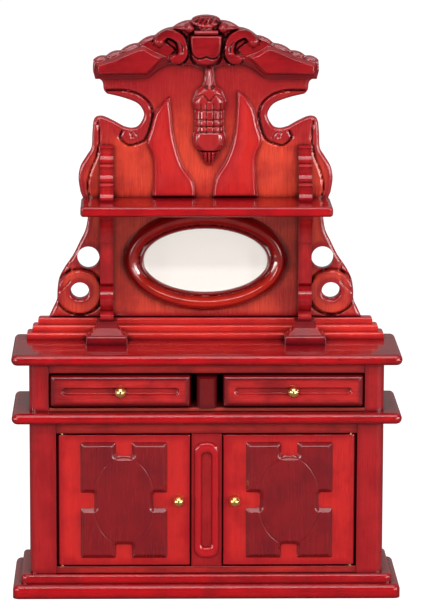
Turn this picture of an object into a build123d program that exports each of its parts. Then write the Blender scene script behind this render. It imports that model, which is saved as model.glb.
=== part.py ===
from build123d import *
import os

# A dolls' house sideboard of stained wood: a base cabinet with two doors and two drawers,
# and a carved hutch with a shelf and an oval mirror standing on its top.
# Millimetres. +X is to the right, +Y to the back, +Z up. The origin is on the floor,
# under the middle of the plinth. Left and right are as seen from the front.

# ---------------------------------------------------------------- driving sizes
board_w = 117.5            # width of the plinth, waist board and countertop
board_d = 35.0             # depth of the same three boards
board_t = 3.3              # thickness of the waist board and countertop
board_corner = 2.0         # plan radius of their front corners
plinth_t = 4.2             # thickness of the plinth board
plinth_round = 1.7         # rounding of the plinth's upper edge
step_t = 2.8               # thickness of the step on the plinth
step_inset = 2.4           # the step stands in from the plinth by this
step_round = 1.1

carcass_inset = 5.2        # the cabinet's sides stand in from the boards' ends
front_inset = 4.0          # its face frame stands back from the boards' front
back_inset = 1.0           # and its back from the boards' back
lower_h = 46.9             # height between the step and the waist board
upper_h = 14.7             # height between the waist board and the countertop
side_t = 3.0
back_t = 2.0

frame_t = 4.0              # thickness of the face frames
post_lower_w = 8.1
post_upper_w = 6.0
post_round = 2.4           # rounding of the posts' outer front edges
rail_top_h = 3.4           # rail over the doors
rail_bottom_h = 2.2        # rail under the doors
stile_w = 9.2              # stile between the doors
drawer_rail_h = 2.9        # rail over the drawers
drawer_floor_t = 1.2       # board that the drawers slide on
divider_t = 3.0            # partition between the drawers
drawer_space = 9.0         # space left between the two drawer fronts

stile_ring_side = 0.9      # raised moulding on the stile, in from the stile's edges
stile_ring_end = 2.65      # and from its ends
stile_ring_border = 2.2
stile_ring_t = 1.0

door_t = 2.6
door_gap = 0.45            # gap all round a door
door_panel_side = 6.8      # raised cross-shaped panel, in from the door's upright edges
door_panel_end = 2.2       # and from its top and bottom
door_panel_t = 1.2
door_panel_bevel = 0.8
notch_w = 4.7              # notch in the middle of each side of the panel
notch_deep = 4.2
notch_round = 0.8
oval_side = 3.9            # scored oval on the panel, in from the panel's sides
oval_end = 4.4             # and from its ends
oval_score_w = 0.3
oval_score_deep = 0.2
door_knob_inset = 3.4      # knob's centre from the door's free edge

pin_r = 0.5                # brass hinge pins
pin_clearance = 0.05       # radial clearance of a pin in its rail
pin_in_door = 3.0
pin_in_rail = 1.5
pin_end_gap = 0.3

drawer_gap = 0.4           # gap round a drawer front
drawer_lift = 0.1          # clearance under the drawer's box
drawer_proud = 1.4         # the drawer front stands proud of the face frame
drawer_front_t = 3.4
drawer_bevel = 1.2
drawer_box_h = 8.0
drawer_box_len = 23.0
drawer_wall = 1.5
drawer_bottom_t = 1.0
drawer_side_play = 0.3     # the box is this much narrower than the front, each side
groove_w = 2.3             # round-ended groove cut in the drawer front
groove_side = 3.5          # the groove's ends stand in from the front's ends
groove_deep = 0.5

knob_r = 1.65              # turned brass knobs
knob_neck_r = 0.6
knob_neck_len = 0.9

block_w = 6.0              # faceted block between the drawers
block_proud = 0.4
block_top_slope = 2.4
block_side_slope = 0.9

hutch_inset = 4.0          # the hutch's base stands in from the countertop's ends
hutch_back_inset = 2.3     # and its back from the countertop's back
tier_h = 2.07              # height of each of the three tiers of the hutch's base
tier_step = 1.7            # each tier stands back by this
tier_round = 0.8           # rounding of each tier's upper edge
tier_count = 3
hutch_base_d = 7.2         # depth of the lowest tier
back_board_t = 3.0         # thickness of the carved back board
hutch_rise = 94.0          # height of the carved back board

shelf_w = 76.0
shelf_t = 3.1
shelf_d = 19.7
shelf_rise = 34.1          # from the hutch's base to the underside of the shelf
bracket_w = 4.0
bracket_x = 30.2           # from the middle of the hutch to the middle of a bracket
lower_bracket_d = 16.2     # depth of a lower bracket under the shelf
upper_bracket_d = 9.2
upper_bracket_tiers = 3
upper_bracket_h = 16.2

foot_w = 12.6              # stepped foot under each lower bracket
foot_block_h = 2.8
foot_slope_h = 2.0
foot_cap_h = 1.9
foot_cap_w = 6.4
foot_d = 9.2
foot_step = 2.5            # the foot's cap stands back by this

mirror_rise = 17.9         # from the hutch's base to the mirror's centre
mirror_half_w = 25.1       # outside of the oval frame
mirror_half_h = 15.9
mirror_ring = 6.2          # width of the frame
mirror_frame_t = 3.2
mirror_rebate = 0.8        # the glass runs in under the frame by this
glass_t = 1.0
glass_clearance = 0.1

crest_t = 4.0              # full thickness of the crest
crest_rim_t = 2.6          # thickness of its scalloped rim
crest_bevel = 0.8
horn_t = 1.6
drop_t = 2.7
drop_shift = 1.0           # the drop hangs a little to the right of the middle

ease = 0.25                # small rounding on sawn edges

# ---------------------------------------------------------------- places that follow
step_z = plinth_t
lower_z = step_z + step_t
waist_z = lower_z + lower_h
upper_z = waist_z + board_t
top_z = upper_z + upper_h
counter_z = top_z + board_t

front_y = -board_d / 2 + front_inset
frame_back_y = front_y + frame_t
back_y = board_d / 2 - back_inset
half = board_w / 2 - carcass_inset

door_z0 = lower_z + rail_bottom_h + door_gap
door_z1 = waist_z - rail_top_h - door_gap
door_x0 = stile_w / 2 + door_gap
door_x1 = half - post_lower_w - door_gap
door_cx = (door_x0 + door_x1) / 2
door_cz = (door_z0 + door_z1) / 2
door_panel_w = door_x1 - door_x0 - 2 * door_panel_side
door_panel_h = door_z1 - door_z0 - 2 * door_panel_end
oval_w = door_panel_w - 2 * oval_side
oval_h = door_panel_h - 2 * oval_end
stile_ring_w = stile_w - 2 * stile_ring_side
stile_ring_h = waist_z - rail_top_h - lower_z - rail_bottom_h - 2 * stile_ring_end
hinge_x = door_x1 - door_t / 2
hinge_y = front_y + door_t / 2

drawer_x0 = drawer_space / 2 + drawer_gap
drawer_x1 = half - post_upper_w - drawer_gap
drawer_cx = (drawer_x0 + drawer_x1) / 2
drawer_floor_z = upper_z + drawer_floor_t
drawer_z0 = drawer_floor_z + drawer_gap
drawer_z1 = top_z - drawer_rail_h - drawer_gap
drawer_cz = (drawer_z0 + drawer_z1) / 2
drawer_front_y = front_y - drawer_proud
drawer_box_y = drawer_front_y + drawer_front_t

hutch_z = counter_z + tier_h * tier_count
hutch_back_y = board_d / 2 - hutch_back_inset
hutch_y = hutch_back_y - back_board_t
hutch_half = board_w / 2 - hutch_inset
hutch_base_y = hutch_back_y - hutch_base_d
shelf_z = hutch_z + shelf_rise
shelf_top = shelf_z + shelf_t
mirror_z = hutch_z + mirror_rise

# The carving is drawn full size on a pattern for a hutch base this wide and a board
# this tall, with z measured from the top of the hutch's base, and enlarged to suit.
pattern_half = 54.75
pattern_rise = 94.0
scale_x = hutch_half / pattern_half
scale_z = hutch_rise / pattern_rise

os.makedirs("parts", exist_ok=True)


def facing(y):
    """Plane that faces the front at this depth: its x is X, its y is Z."""
    return Plane.XZ.offset(-y)


def pattern(*points):
    """Points of the carving's pattern, enlarged to the hutch."""
    return [(x * scale_x, hutch_z + z * scale_z) for x, z in points]


def mirrored(points):
    """The same points on the other side, in the opposite order."""
    return [(-x, z) for x, z in reversed(points)]


def save(made, label):
    """Label a finished piece and write it."""
    made.part.label = label
    export_step(made.part, f"parts/{label}.step")


def save_pair(made, label):
    """Write a piece made for the right-hand side, and its mirror image for the left."""
    save(made, f"{label}_right")
    with BuildPart() as other:
        mirror(made.part, about=Plane.YZ)
    save(other, f"{label}_left")


def board(x0, x1, y0, y1, z0, z1, rounding=ease):
    """A plain sawn board with its edges eased."""
    with BuildPart() as made:
        with BuildSketch(Plane.XY.offset(z0)):
            with Locations(((x0 + x1) / 2, (y0 + y1) / 2)):
                Rectangle(x1 - x0, y1 - y0)
        extrude(amount=z1 - z0)
        fillet(made.edges(), rounding)
    return made


def edged_board(width, y0, y1, z0, z1, corner, top, bottom):
    """A board with rounded front corners, and its front and side edges rounded over."""
    with BuildPart() as made:
        with BuildSketch(Plane.XY.offset(z0)) as plan:
            with Locations((0, (y0 + y1) / 2)):
                Rectangle(width, y1 - y0)
            fillet(plan.vertices().group_by(Axis.Y)[0], corner)
        extrude(amount=z1 - z0)
        back_edges = made.edges().filter_by(Axis.X).group_by(Axis.Y)[-1]
        upper = made.edges().group_by(Axis.Z)[-1] - back_edges
        fillet(upper, top)
        if bottom:
            lower = made.edges().group_by(Axis.Z)[0] - back_edges
            fillet(lower, bottom)
    return made


def post(width, z0, z1):
    """A right-hand corner post of a face frame, rounded on its outer front edge."""
    with BuildPart() as made:
        with BuildSketch(Plane.XY.offset(z0)):
            with Locations((half - width / 2, (front_y + frame_back_y) / 2)):
                Rectangle(width, frame_t)
        extrude(amount=z1 - z0)
        uprights = made.edges().filter_by(Axis.Z).group_by(Axis.Y)[0]
        fillet(uprights.sort_by(Axis.X)[-1], post_round)
        fillet(made.edges().filter_by(Axis.Z).group_by(Axis.Y)[0].sort_by(Axis.X)[0], ease)
    return made


def knob(x, y, z):
    """A turned knob standing on a face at this depth: a ball on a short neck."""
    ball_y = y - knob_neck_len - knob_r * 0.9
    with BuildPart() as made:
        with BuildSketch(facing(y)):
            with Locations((x, z)):
                Circle(knob_neck_r)
        extrude(amount=y - ball_y)
        with Locations((x, ball_y, z)):
            Sphere(knob_r)
    return made


# ---------------------------------------------------------------- cabinet boards
half_board = board_t * 0.48

base_plinth = edged_board(board_w, -board_d / 2, board_d / 2, 0, plinth_t,
                          board_corner, plinth_round, ease)
save(base_plinth, "base_plinth")

base_step = edged_board(board_w - 2 * step_inset, -board_d / 2 + step_inset, back_y,
                        step_z, lower_z, board_corner, step_round, 0)
save(base_step, "base_step")

waist_board = edged_board(board_w, -board_d / 2, board_d / 2, waist_z, upper_z,
                          board_corner, half_board, half_board)
save(waist_board, "waist_board")

countertop = edged_board(board_w, -board_d / 2, board_d / 2, top_z, counter_z,
                         board_corner, half_board, half_board)
save(countertop, "countertop")

# ---------------------------------------------------------------- lower cabinet
side_panel = board(half - side_t, half, frame_back_y, back_y, lower_z, waist_z)
save_pair(side_panel, "side_panel")

back_panel = board(side_t - half, half - side_t, back_y - back_t, back_y, lower_z, waist_z)
save(back_panel, "back_panel")

lower_post = post(post_lower_w, lower_z, waist_z)
save_pair(lower_post, "post_lower")


def hinge_holes():
    """Cut the four running holes that the hinge pins turn in."""
    reach = 2 * (pin_in_rail + door_gap + pin_end_gap)
    hole_h = door_z1 - door_z0 + reach
    with Locations((-hinge_x, hinge_y, door_cz), (hinge_x, hinge_y, door_cz)):
        Cylinder(pin_r + pin_clearance, hole_h, mode=Mode.SUBTRACT)


rail_x = half - post_lower_w
with BuildPart() as rail_over_doors:
    with BuildSketch(Plane.XY.offset(waist_z - rail_top_h)):
        with Locations((0, (front_y + frame_back_y) / 2)):
            Rectangle(2 * rail_x, frame_t)
    extrude(amount=rail_top_h)
    fillet(rail_over_doors.edges(), ease)
    hinge_holes()
save(rail_over_doors, "rail_over_doors")

with BuildPart() as rail_under_doors:
    with BuildSketch(Plane.XY.offset(lower_z)):
        with Locations((0, (front_y + frame_back_y) / 2)):
            Rectangle(2 * rail_x, frame_t)
    extrude(amount=rail_bottom_h)
    fillet(rail_under_doors.edges(), ease)
    hinge_holes()
save(rail_under_doors, "rail_under_doors")

centre_stile = board(-stile_w / 2, stile_w / 2, front_y, frame_back_y,
                     lower_z + rail_bottom_h, waist_z - rail_top_h)
save(centre_stile, "centre_stile")

with BuildPart() as stile_moulding:
    with BuildSketch(facing(front_y)):
        with Locations((0, door_cz)):
            RectangleRounded(stile_ring_w, stile_ring_h, stile_ring_w * 0.4)
            slot_w = stile_ring_w - 2 * stile_ring_border
            slot_h = stile_ring_h - 3 * stile_ring_border
            RectangleRounded(slot_w, slot_h, slot_w * 0.45, mode=Mode.SUBTRACT)
    extrude(amount=stile_ring_t)
    fillet(stile_moulding.faces().sort_by(Axis.Y)[0].edges(), stile_ring_t * 0.6)
save(stile_moulding, "stile_moulding")

# ---------------------------------------------------------------- doors
# Each door turns on two pins in its outer edge, which is rounded about them.


def door_slab():
    """The right-hand door, with a half-round hinge edge and a hole for each pin."""
    with BuildPart() as made:
        with BuildSketch(Plane.XY.offset(door_z0)) as plan:
            with Locations(((door_x0 + hinge_x) / 2, hinge_y)):
                Rectangle(hinge_x - door_x0, door_t)
            with Locations((hinge_x, hinge_y)):
                Circle(door_t / 2)
            fillet(plan.vertices().group_by(Axis.X)[0], ease)
        extrude(amount=door_z1 - door_z0)
        fillet(made.faces().sort_by(Axis.Z)[-1].edges(), ease)
        fillet(made.faces().sort_by(Axis.Z)[0].edges(), ease)
        with BuildSketch(Plane.XY.offset(door_z0)):
            with Locations((hinge_x, hinge_y)):
                Circle(pin_r)
        extrude(amount=pin_in_door, mode=Mode.SUBTRACT)
        with BuildSketch(Plane.XY.offset(door_z1 - pin_in_door)):
            with Locations((hinge_x, hinge_y)):
                Circle(pin_r)
        extrude(amount=pin_in_door, mode=Mode.SUBTRACT)
    return made


def cross_panel():
    """The raised panel of a door: a rectangle notched in the middle of each side."""
    with BuildPart() as made:
        with BuildSketch(facing(front_y)) as outline:
            with Locations((door_cx, door_cz)):
                Rectangle(door_panel_w, door_panel_h)
            side = door_panel_w / 2 - notch_deep / 2
            end = door_panel_h / 2 - notch_deep / 2
            with Locations((door_cx - side, door_cz), (door_cx + side, door_cz)):
                Rectangle(notch_deep, notch_w, mode=Mode.SUBTRACT)
            with Locations((door_cx, door_cz - end), (door_cx, door_cz + end)):
                Rectangle(notch_w, notch_deep, mode=Mode.SUBTRACT)
            fillet(outline.vertices(), notch_round)
        extrude(amount=door_panel_t)
        chamfer(made.faces().sort_by(Axis.Y)[0].edges(), door_panel_bevel)
        with BuildSketch(facing(front_y - door_panel_t)):
            with Locations((door_cx, door_cz)):
                Ellipse(oval_w / 2, oval_h / 2)
                Ellipse(oval_w / 2 - oval_score_w, oval_h / 2 - oval_score_w,
                        mode=Mode.SUBTRACT)
        extrude(amount=-oval_score_deep, mode=Mode.SUBTRACT)
    return made


def hinge_pins():
    """The two brass pins of the right-hand door."""
    with BuildPart() as made:
        for z in (door_z0 + pin_in_door, door_z1 + door_gap + pin_in_rail):
            with BuildSketch(Plane.XY.offset(z)):
                with Locations((hinge_x, hinge_y)):
                    Circle(pin_r)
            extrude(amount=-(pin_in_door + door_gap + pin_in_rail))
    return made


save_pair(door_slab(), "door")
save_pair(cross_panel(), "door_panel")
save_pair(hinge_pins(), "door_hinge_pins")
save_pair(knob(door_x0 + door_knob_inset, front_y, door_cz), "door_knob")

# ---------------------------------------------------------------- drawer section
upper_side = board(half - side_t, half, frame_back_y, back_y, upper_z, top_z)
save_pair(upper_side, "upper_side")

upper_back = board(side_t - half, half - side_t, back_y - back_t, back_y, upper_z, top_z)
save(upper_back, "upper_back")

upper_post = post(post_upper_w, upper_z, top_z)
save_pair(upper_post, "post_upper")

opening_x = half - post_upper_w
drawer_floor = board(-opening_x, opening_x, front_y, back_y - back_t, upper_z, drawer_floor_z)
save(drawer_floor, "drawer_floor")

rail_over_drawers = board(-opening_x, opening_x, front_y, frame_back_y,
                          top_z - drawer_rail_h, top_z)
save(rail_over_drawers, "rail_over_drawers")

drawer_divider = board(-divider_t / 2, divider_t / 2, frame_back_y, back_y - back_t,
                       drawer_floor_z, top_z)
save(drawer_divider, "drawer_divider")

block_z1 = top_z - drawer_rail_h
with BuildPart() as centre_block:
    with BuildSketch(Plane.XY.offset(drawer_floor_z)):
        with Locations((0, (front_y - block_proud + frame_back_y) / 2)):
            Rectangle(block_w, frame_t + block_proud)
    extrude(amount=block_z1 - drawer_floor_z)
    face = centre_block.faces().sort_by(Axis.Y)[0]
    chamfer(face.edges().filter_by(Axis.Z), block_side_slope)
    face = centre_block.faces().sort_by(Axis.Y)[0]
    chamfer(face.edges().sort_by(Axis.Z)[-1], block_top_slope, block_top_slope * 0.7)
save(centre_block, "centre_block")

# ---------------------------------------------------------------- drawers
with BuildPart() as drawer_front:
    with BuildSketch(facing(drawer_box_y)):
        with Locations((drawer_cx, drawer_cz)):
            Rectangle(drawer_x1 - drawer_x0, drawer_z1 - drawer_z0)
    extrude(amount=drawer_front_t)
    chamfer(drawer_front.faces().sort_by(Axis.Y)[0].edges(), drawer_bevel)
    fillet(drawer_front.faces().sort_by(Axis.Y)[0].edges(), ease)
    with BuildSketch(facing(drawer_front_y)):
        with Locations((drawer_cx, drawer_cz)):
            SlotOverall(drawer_x1 - drawer_x0 - 2 * groove_side, groove_w)
    extrude(amount=-groove_deep, mode=Mode.SUBTRACT)
save_pair(drawer_front, "drawer_front")

box_x0 = drawer_x0 + drawer_side_play
box_x1 = drawer_x1 - drawer_side_play
box_z0 = drawer_floor_z + drawer_lift
box_z1 = box_z0 + drawer_box_h
box_y1 = drawer_box_y + drawer_box_len
side_ease = ease / 2

drawer_inner_side = board(box_x0, box_x0 + drawer_wall, drawer_box_y, box_y1,
                          box_z0, box_z1, side_ease)
save_pair(drawer_inner_side, "drawer_inner_side")

drawer_outer_side = board(box_x1 - drawer_wall, box_x1, drawer_box_y, box_y1,
                          box_z0, box_z1, side_ease)
save_pair(drawer_outer_side, "drawer_outer_side")

drawer_back = board(box_x0 + drawer_wall, box_x1 - drawer_wall, box_y1 - drawer_wall, box_y1,
                    box_z0, box_z1, side_ease)
save_pair(drawer_back, "drawer_back")

drawer_bottom = board(box_x0 + drawer_wall, box_x1 - drawer_wall, drawer_box_y,
                      box_y1 - drawer_wall, box_z0, box_z0 + drawer_bottom_t, side_ease)
save_pair(drawer_bottom, "drawer_bottom")

save_pair(knob(drawer_cx, drawer_front_y + groove_deep, drawer_cz), "drawer_knob")

# ---------------------------------------------------------------- hutch base
with BuildPart() as hutch_base:
    for tier in range(tier_count):
        back_in = tier * tier_step
        with BuildSketch(Plane.XY.offset(counter_z + tier * tier_h)):
            with Locations((0, (hutch_base_y + back_in + hutch_back_y) / 2)):
                Rectangle(2 * (hutch_half - back_in), hutch_base_d - back_in)
        extrude(amount=tier_h)
        rim = hutch_base.faces().sort_by(Axis.Z)[-1].edges()
        fillet(rim - rim.group_by(Axis.Y)[-1], tier_round)
save(hutch_base, "hutch_base")

# ---------------------------------------------------------------- carved back board
# The right-hand edge of the board, from the hutch's base up to the crest's tip.
wing = pattern((48.0, 0), (45.6, 5.3), (45.4, 8.5), (44.9, 11.8), (43.2, 15.2), (40.6, 19.0),
               (38.6, 23.0), (36.6, 27.4), (35.8, 33.0))
ear = pattern((38.2, 38.8), (38.8, 43.0), (38.2, 46.6), (36.3, 49.8), (34.8, 52.5),
              (34.5, 57.5), (33.9, 61.2), (31.6, 62.0), (28.2, 60.6), (25.2, 58.9))
cutout = pattern((22.7, 58.3), (20.5, 59.0), (18.9, 61.7), (19.1, 63.9), (21.0, 66.2),
                 (25.4, 67.9))
jaw = pattern((30.0, 69.0), (31.0, 70.2), (31.5, 72.8), (33.7, 74.4))
tip = pattern((34.4, 79.2))[0]
# Ends of the lobes along the top of the crest, from the tip to the middle.
lobes = pattern((34.2, 79.2), (30.3, 80.4), (25.9, 82.0), (20.5, 84.3), (15.4, 86.7),
                (10.0, 89.2), (4.4, 91.3))
lobe_sagitta = 0.6
crown_sagitta = 1.7


def add_lobes(points, sagitta):
    """Arcs that bulge upwards from one point of the list to the next."""
    for first, second in zip(points, points[1:]):
        SagittaArc(first, second, -sagitta)


def add_crown():
    """The scalloped top of the crest, from its right tip to its left."""
    add_lobes(lobes, lobe_sagitta * scale_x)
    SagittaArc(lobes[-1], (-lobes[-1][0], lobes[-1][1]), -crown_sagitta * scale_x)
    add_lobes(mirrored(lobes), lobe_sagitta * scale_x)


def add_side(points_of_side):
    """One side of the back board, as smooth runs between its corners."""
    for run in points_of_side:
        if len(run) == 2:
            Line(*run)
        else:
            Spline(*run)


side_runs = [wing, [wing[-1], ear[0]], ear, [ear[-1]] + cutout + [jaw[0]], jaw, [jaw[-1], lobes[0]]]
with BuildPart() as back_board:
    with BuildSketch(facing(hutch_back_y)):
        with BuildLine():
            add_side(side_runs)
            add_crown()
            add_side([mirrored(run) for run in reversed(side_runs)])
            Line(mirrored(wing)[-1], wing[0])
        make_face()
        upper_hole = pattern((35.6, 18.8), (3.6, 3.4))
        lower_hole = pattern((38.5, 8.4), (2.8, 2.6))
        for centre_at, size in (upper_hole, lower_hole):
            for side in (-1, 1):
                with Locations((side * centre_at[0], centre_at[1])):
                    Ellipse(size[0], size[1] - hutch_z, mode=Mode.SUBTRACT)
    extrude(amount=back_board_t)
save(back_board, "back_board")

# ---------------------------------------------------------------- crest
crest_under = pattern((33.6, 73.7), (18.5, 73.8), (14.3, 77.0), (8.4, 77.9))
shield_foot = pattern((4.2, 79.0), (0, 77.3))
arm = pattern((32.9, 74.4), (33.0, 78.8), (27.0, 80.8), (20.8, 83.4), (15.9, 85.7), (10.0, 88.0),
              (6.6, 86.4), (6.4, 79.6), (14.8, 77.8), (19.0, 74.6))
shield = pattern((0, 78.4), (4.0, 79.8), (5.2, 83.0), (5.2, 87.6), (3.8, 90.4), (0, 91.8))
with BuildPart() as crest:
    with BuildSketch(facing(hutch_y)):
        with BuildLine():
            Line(crest_under[0], lobes[0])
            add_crown()
            Line((-lobes[0][0], lobes[0][1]), (-crest_under[0][0], crest_under[0][1]))
            Polyline(*[(-x, z) for x, z in crest_under])
            ThreePointArc((-crest_under[-1][0], crest_under[-1][1]), shield_foot[1],
                          crest_under[-1])
            Polyline(*reversed(crest_under))
        make_face()
    extrude(amount=crest_rim_t)
    for outline in (arm, mirrored(arm), shield + mirrored(shield)):
        with BuildSketch(facing(hutch_y - crest_rim_t)):
            Polygon(*outline, align=None)
        extrude(amount=crest_t - crest_rim_t)
    raised = crest.faces().filter_by(Axis.Y).group_by(Axis.Y)[0]
    chamfer(raised.edges(), crest_bevel)
save(crest, "crest")

# ---------------------------------------------------------------- applied leaves and drop
horn_outer = pattern((10.1, 69.4), (13.6, 65.4), (15.9, 61.3), (17.4, 54.4), (15.6, 49.2),
                     (15.8, 43.0), (16.2, shelf_rise + shelf_t))
horn_inner = pattern((2.7, shelf_rise + shelf_t), (4.3, 44.0), (7.1, 50.2), (9.0, 57.5),
                     (9.3, 63.0))
horn_outer[-1] = (horn_outer[-1][0], shelf_top)
horn_inner[0] = (horn_inner[0][0], shelf_top)
with BuildPart() as horn_leaf:
    with BuildSketch(facing(hutch_y)):
        with BuildLine():
            Spline(*horn_outer)
            Line(horn_outer[-1], horn_inner[0])
            Spline(*horn_inner)
            Line(horn_inner[-1], horn_outer[0])
        make_face()
    extrude(amount=horn_t)
    chamfer(horn_leaf.faces().sort_by(Axis.Y)[0].edges(), ease)
save_pair(horn_leaf, "horn_leaf")

drop_side = pattern((2.1, 77.2), (1.8, 73.6), (2.5, 72.0), (4.9, 69.2), (5.6, 64.0),
                    (5.2, 56.0), (5.3, 52.2), (4.2, 50.6))
drop_tip = pattern((0, 46.6))[0]
drop_left = [(drop_shift + x, z) for x, z in mirrored(drop_side)]
drop_right = [(drop_shift + x, z) for x, z in drop_side]
drop_point = (drop_shift + drop_tip[0], drop_tip[1])
with BuildPart() as drop_ornament:
    with BuildSketch(facing(hutch_y)):
        with BuildLine():
            Line(drop_left[-1], drop_right[0])
            Polyline(*drop_right[:3])
            Spline(*drop_right[2:6])
            Polyline(*drop_right[5:])
            Line(drop_right[-1], drop_point)
            Line(drop_point, drop_left[0])
            Polyline(*drop_left[:3])
            Spline(*drop_left[2:6])
            Polyline(*drop_left[5:])
        make_face()
    extrude(amount=drop_t)
    chamfer(drop_ornament.faces().sort_by(Axis.Y)[0].edges(), drop_t / 4)
save(drop_ornament, "drop_ornament")

# ---------------------------------------------------------------- shelf
shelf = edged_board(shelf_w * scale_x, hutch_y - shelf_d, hutch_y, shelf_z, shelf_top,
                    board_corner / 2, shelf_t * 0.3, shelf_t * 0.3)
save(shelf, "shelf")

# ---------------------------------------------------------------- feet and brackets
foot_x = bracket_x * scale_x
foot_y0 = hutch_base_y - foot_d
foot_top = counter_z + foot_block_h + foot_slope_h + foot_cap_h


slope_z = counter_z + foot_block_h
cap_z = slope_z + foot_slope_h
slope_levels = [
    (slope_z, foot_w - foot_step, foot_y0 + foot_step / 2),
    (cap_z, foot_cap_w, foot_y0 + foot_step),
]
with BuildPart() as bracket_foot:
    with BuildSketch(Plane.XY.offset(counter_z)):
        with Locations((foot_x, (foot_y0 + hutch_base_y) / 2)):
            Rectangle(foot_w, hutch_base_y - foot_y0)
    extrude(amount=foot_block_h)
    fillet(bracket_foot.edges().filter_by(Axis.Z).group_by(Axis.Y)[0], ease)
    top_rim = bracket_foot.faces().sort_by(Axis.Z)[-1].edges()
    fillet(top_rim - top_rim.group_by(Axis.Y)[-1], foot_block_h * 0.35)
    for level, width, level_y in slope_levels:
        with BuildSketch(Plane.XY.offset(level)):
            with Locations((foot_x, (level_y + hutch_base_y) / 2)):
                Rectangle(width, hutch_base_y - level_y)
    loft()
    with BuildSketch(Plane.XY.offset(cap_z)):
        with Locations((foot_x, (foot_y0 + foot_step + hutch_base_y) / 2)):
            Rectangle(foot_cap_w, hutch_base_y - foot_y0 - foot_step)
    extrude(amount=foot_cap_h)
save_pair(bracket_foot, "bracket_foot")


def bracket(draw_front, z0, z1):
    """A right-hand bracket sawn to a side profile, from the back board forwards."""
    with BuildPart() as made:
        with BuildSketch(Plane.YZ.offset(foot_x - bracket_w / 2)):
            with BuildLine():
                top_front, bottom_front = draw_front()
                Line(bottom_front, (hutch_y, z0))
                Line((hutch_y, z0), (hutch_y, z1))
                Line((hutch_y, z1), top_front)
            make_face()
        extrude(amount=bracket_w)
    return made


lower_steps = (0.28, 0.66, 0.89)    # heights of the bracket's steps, down from the shelf
lower_h_span = shelf_z - foot_top
flat_d = lower_bracket_d * 0.47     # depth of the flat length below the upper cove
notch = 0.9


def lower_front():
    """Front of a lower bracket: a cove under the shelf, a flat, a bead and a neck."""
    front = hutch_y - lower_bracket_d
    flat = hutch_y - flat_d
    cove_z, bead_z, neck_z = [shelf_z - share * lower_h_span for share in lower_steps]
    Line((front, shelf_z), (front, shelf_z - notch))
    cove_end = (flat - 1.5 * notch, cove_z)
    TangentArc((front, shelf_z - notch), cove_end, tangent=(1, -0.35))
    Line(cove_end, (flat, cove_z))
    Line((flat, cove_z), (flat, bead_z))
    Line((flat, bead_z), (flat + notch, bead_z - notch))
    Line((flat + notch, bead_z - notch), (flat, bead_z - 2 * notch))
    bead_side = (flat - 1.7 * notch, (bead_z + neck_z) / 2 - notch)
    ThreePointArc((flat, bead_z - 2 * notch), bead_side, (flat, neck_z))
    Line((flat, neck_z), (flat + notch, neck_z - notch))
    Line((flat + notch, neck_z - notch), (flat - notch, foot_top + notch))
    Line((flat - notch, foot_top + notch), (flat - notch, foot_top))
    return (front, shelf_z), (flat - notch, foot_top)


save_pair(bracket(lower_front, foot_top, shelf_z), "bracket_lower")

upper_tier_h = upper_bracket_h / upper_bracket_tiers
upper_tier_d = upper_bracket_d / upper_bracket_tiers


def upper_front():
    """Front of an upper bracket: three hollow coves, one over another."""
    top = shelf_top + upper_bracket_h
    for tier in range(upper_bracket_tiers):
        high = top - tier * upper_tier_h
        nose = hutch_y - (tier + 1) * upper_tier_d
        hollow = nose + upper_tier_d * 0.45
        Line((hollow, high), (nose + upper_tier_d * 0.2, high - upper_tier_h * 0.12))
        ThreePointArc((nose + upper_tier_d * 0.2, high - upper_tier_h * 0.12),
                      (hollow, high - upper_tier_h * 0.5),
                      (nose, high - upper_tier_h * 0.85))
        Line((nose, high - upper_tier_h * 0.85), (nose, high - upper_tier_h))
        if tier < upper_bracket_tiers - 1:
            Line((nose, high - upper_tier_h),
                 (nose - upper_tier_d * 0.55, high - upper_tier_h))
    first = hutch_y - upper_tier_d * 0.55
    return (first, top), (hutch_y - upper_bracket_d, shelf_top)


save_pair(bracket(upper_front, shelf_top, shelf_top + upper_bracket_h), "bracket_upper")

# ---------------------------------------------------------------- mirror
glass_half_w = mirror_half_w - mirror_ring + mirror_rebate
glass_half_h = mirror_half_h - mirror_ring + mirror_rebate
with BuildPart() as mirror_frame:
    with BuildSketch(facing(hutch_y)):
        with Locations((0, mirror_z)):
            Ellipse(mirror_half_w, mirror_half_h)
            Ellipse(mirror_half_w - mirror_ring, mirror_half_h - mirror_ring,
                    mode=Mode.SUBTRACT)
    extrude(amount=mirror_frame_t)
    front_rims = mirror_frame.faces().sort_by(Axis.Y)[0].edges()
    fillet(front_rims, mirror_frame_t * 0.5)
    with BuildSketch(facing(hutch_y)):
        with Locations((0, mirror_z)):
            Ellipse(glass_half_w + glass_clearance, glass_half_h + glass_clearance)
    extrude(amount=glass_t + glass_clearance, mode=Mode.SUBTRACT)
save(mirror_frame, "mirror_frame")

with BuildPart() as mirror_glass:
    with BuildSketch(facing(hutch_y)):
        with Locations((0, mirror_z)):
            Ellipse(glass_half_w, glass_half_h)
    extrude(amount=glass_t)
save(mirror_glass, "mirror_glass")
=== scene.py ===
import logging
import math
from dataclasses import dataclass, field
from enum import Enum

import bpy
import numpy as np
from mathutils import Matrix, Vector


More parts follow.
